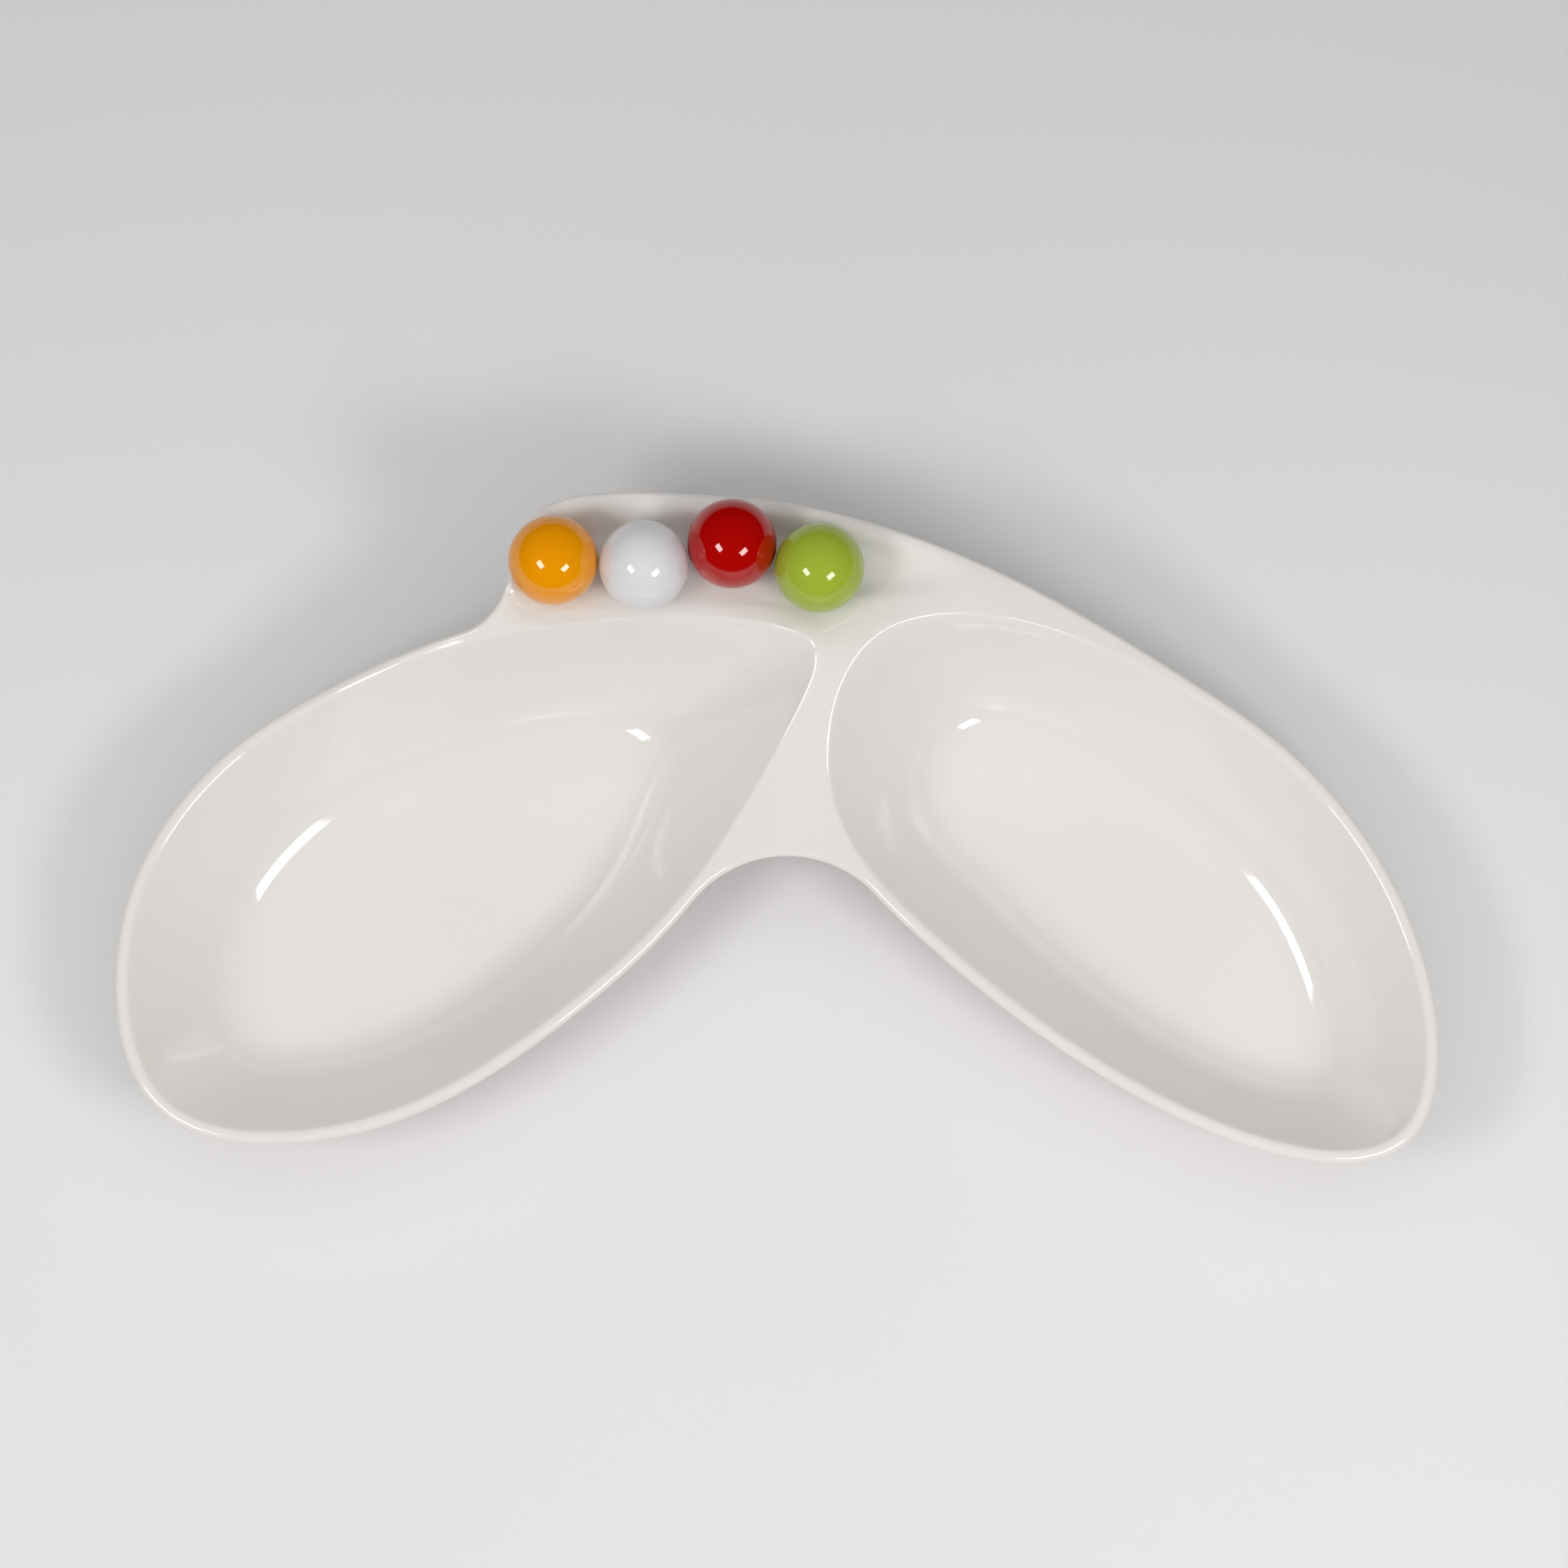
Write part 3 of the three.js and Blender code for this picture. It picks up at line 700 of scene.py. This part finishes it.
# Name, seed of its lumps, and the glaze's colour where it is thin and where it is thick.
BALLS = (
    ("orange", 3.0, (0.88, 0.34, 0.002), (0.82, 0.29, 0.001)),
    ("white", 7.0, (0.76, 0.75, 0.77), (0.73, 0.72, 0.74)),
    ("red", 11.0, (0.45, 0.003, 0.002), (0.39, 0.001, 0.001)),
    ("green", 17.0, (0.38, 0.48, 0.045), (0.33, 0.43, 0.035)),
)
BALL_INPUTS = (
    ("Diameter", "NodeSocketFloat"),
    ("Out of round", "NodeSocketFloat"),
    ("Seed", "NodeSocketFloat"),
    ("Seat", "NodeSocketVector"),
    ("Glaze", "NodeSocketMaterial"),
)


def ball_tree():
    """Nodes that make one ball: a fine sphere, pushed in and out a little along its normals."""
    tree = bpy.data.node_groups.new("rolled_ball", "GeometryNodeTree")
    for name, kind in BALL_INPUTS:
        tree.interface.new_socket(name, in_out="INPUT", socket_type=kind)
    tree.interface.new_socket("Geometry", in_out="OUTPUT", socket_type="NodeSocketGeometry")
    nodes = Nodes(tree)
    given = nodes.add("NodeGroupInput").outputs
    radius = nodes.math("DIVIDE", given["Diameter"], 2)
    sphere = nodes.add("GeometryNodeMeshIcoSphere", Radius=radius, Subdivisions=BALL_SUBDIVISIONS)
    lumps = nodes.add("ShaderNodeTexNoise", Scale=LUMP_SCALE, Detail=LUMP_DETAIL)
    lumps.noise_dimensions = "4D"
    nodes.feed(lumps.inputs["W"], given["Seed"])
    level = nodes.math("SUBTRACT", lumps.outputs["Fac"], LUMP_MEAN)
    push = nodes.add("ShaderNodeVectorMath")
    push.operation = "SCALE"
    nodes.feed(push.inputs["Vector"], nodes.add("GeometryNodeInputNormal").outputs["Normal"])
    nodes.feed(push.inputs["Scale"], nodes.math("MULTIPLY", level, given["Out of round"]))
    shape = nodes.add(
        "GeometryNodeSetPosition", Geometry=sphere.outputs["Mesh"], Offset=push.outputs["Vector"]
    )
    seat = nodes.add(
        "GeometryNodeTransform", Geometry=shape.outputs["Geometry"], Translation=given["Seat"]
    )
    smooth = nodes.add("GeometryNodeSetShadeSmooth", Geometry=seat.outputs["Geometry"])
    whole = nodes.add("GeometryNodeRealizeInstances", Geometry=smooth.outputs["Geometry"])
    glazed = nodes.add(
        "GeometryNodeSetMaterial", Geometry=whole.outputs["Geometry"], Material=given["Glaze"]
    )
    nodes.add("NodeGroupOutput", Geometry=glazed.outputs["Geometry"])
    return tree


def grown(name, tree, inputs):
    """Plain mesh object from a node tree with the given inputs."""
    blank = bpy.data.meshes.new(name + "_blank")
    piece = bpy.data.objects.new(name, blank)
    scene.collection.objects.link(piece)
    modifier = piece.modifiers.new("nodes", "NODES")
    modifier.node_group = tree
    sockets = {s.name: s.identifier for s in tree.interface.items_tree if s.in_out == "INPUT"}
    for key, value in inputs.items():
        modifier[sockets[key]] = value
    bpy.context.view_layer.update()
    graph = bpy.context.evaluated_depsgraph_get()
    mesh = bpy.data.meshes.new_from_object(piece.evaluated_get(graph), depsgraph=graph)
    piece.modifiers.remove(modifier)
    piece.data = mesh
    mesh.name = name
    bpy.data.meshes.remove(blank)
    return piece


rolled_ball = ball_tree()
for colour, seed, thin, thick in BALLS:
    low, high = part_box(colour + "_ball")
    ball_glaze = Finish(colour + "_glaze")
    glaze_over(ball_glaze, pooled(ball_glaze, thin, thick), BALL_ROUGHNESS, BALL_RIPPLE)
    ball = grown("rolled_ball_" + colour, rolled_ball, {
        "Diameter": high.z - low.z,
        "Out of round": OUT_OF_ROUND,
        "Seed": seed,
        "Seat": (low + high) / 2,
        "Glaze": ball_glaze.material,
    })
    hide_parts(colour + "_ball")
    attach(ball, colour + "_ball")


# Floor: a wide sheet of pale matt paper under the dish, which only takes its shadow.
# It is set dressing and no part of the object.
FLOOR_REACH = 6.0
PAPER_LIGHT = (0.80, 0.785, 0.785)
PAPER_DARK = (0.78, 0.765, 0.767)
PAPER_ROUGHNESS = 0.9
TOOTH_SCALE = 3.0
TOOTH_DETAIL = 4.0

corners = [(FLOOR_REACH * x, FLOOR_REACH * y, 0) for x, y in ((-1, -1), (1, -1), (1, 1), (-1, 1))]
floor_mesh = bpy.data.meshes.new("paper_floor")
floor_mesh.from_pydata(corners, [], [(0, 1, 2, 3)])
paper = Finish("matt_paper")
tone = paper.mix(paper.clouds(TOOTH_SCALE, TOOTH_DETAIL), PAPER_LIGHT, PAPER_DARK)
paper.surface(Base_Color=tone, Roughness=PAPER_ROUGHNESS)
floor_mesh.materials.append(paper.material)
floor = bpy.data.objects.new("paper_floor", floor_mesh)
scene.collection.objects.link(floor)


# Studio light: two small soft boxes before the table, one to each side, a large sail overhead and a low
# card in front. Only the soft boxes show in the glaze. The sail, the card and the dim room just fill the
# shadows, and are left out of reflections.
SOFT_BOXES = (
    ("left_soft_box", (-0.524, -0.286, 0.783)),
    ("right_soft_box", (0.433, -0.405, 0.690)),
)
BOX_SIZE = (0.31, 0.20)
BOX_POWER = 2.2
SAIL_SPOT = (0.0, -0.10, 2.2)
SAIL_SIZE = (4.0, 4.0)
SAIL_POWER = 31.7
CARD_SPOT = (0.0, -1.2, 0.55)
CARD_SIZE = (2.0, 0.7)
CARD_POWER = 1.55
ROOM = (0.80, 0.80, 0.80)
ROOM_STRENGTH = 0.26


def hang_lamp(name, spot, target, size, power, mirrored):
    """Area lamp that faces a target, mirrored in the glaze or not."""
    lamp = bpy.data.lights.new(name, "AREA")
    lamp.shape = "RECTANGLE"
    lamp.size, lamp.size_y = size
    lamp.energy = power
    hung = bpy.data.objects.new(name, lamp)
    hung.location = spot
    hung.rotation_euler = (Vector(spot) - Vector(target)).to_track_quat("Z", "Y").to_euler()
    hung.visible_glossy = mirrored
    scene.collection.objects.link(hung)


for name, spot in SOFT_BOXES:
    hang_lamp(name, spot, AIM, BOX_SIZE, BOX_POWER, mirrored=True)
hang_lamp("overhead_sail", SAIL_SPOT, (*SAIL_SPOT[:2], 0), SAIL_SIZE, SAIL_POWER, mirrored=False)
hang_lamp("front_card", CARD_SPOT, AIM, CARD_SIZE, CARD_POWER, mirrored=False)

room = bpy.data.worlds.new("lit_room")
scene.world = room
room.use_nodes = True
background = room.node_tree.nodes["Background"]
background.inputs["Color"].default_value = (*ROOM, 1)
background.inputs["Strength"].default_value = ROOM_STRENGTH
room.cycles_visibility.glossy = False
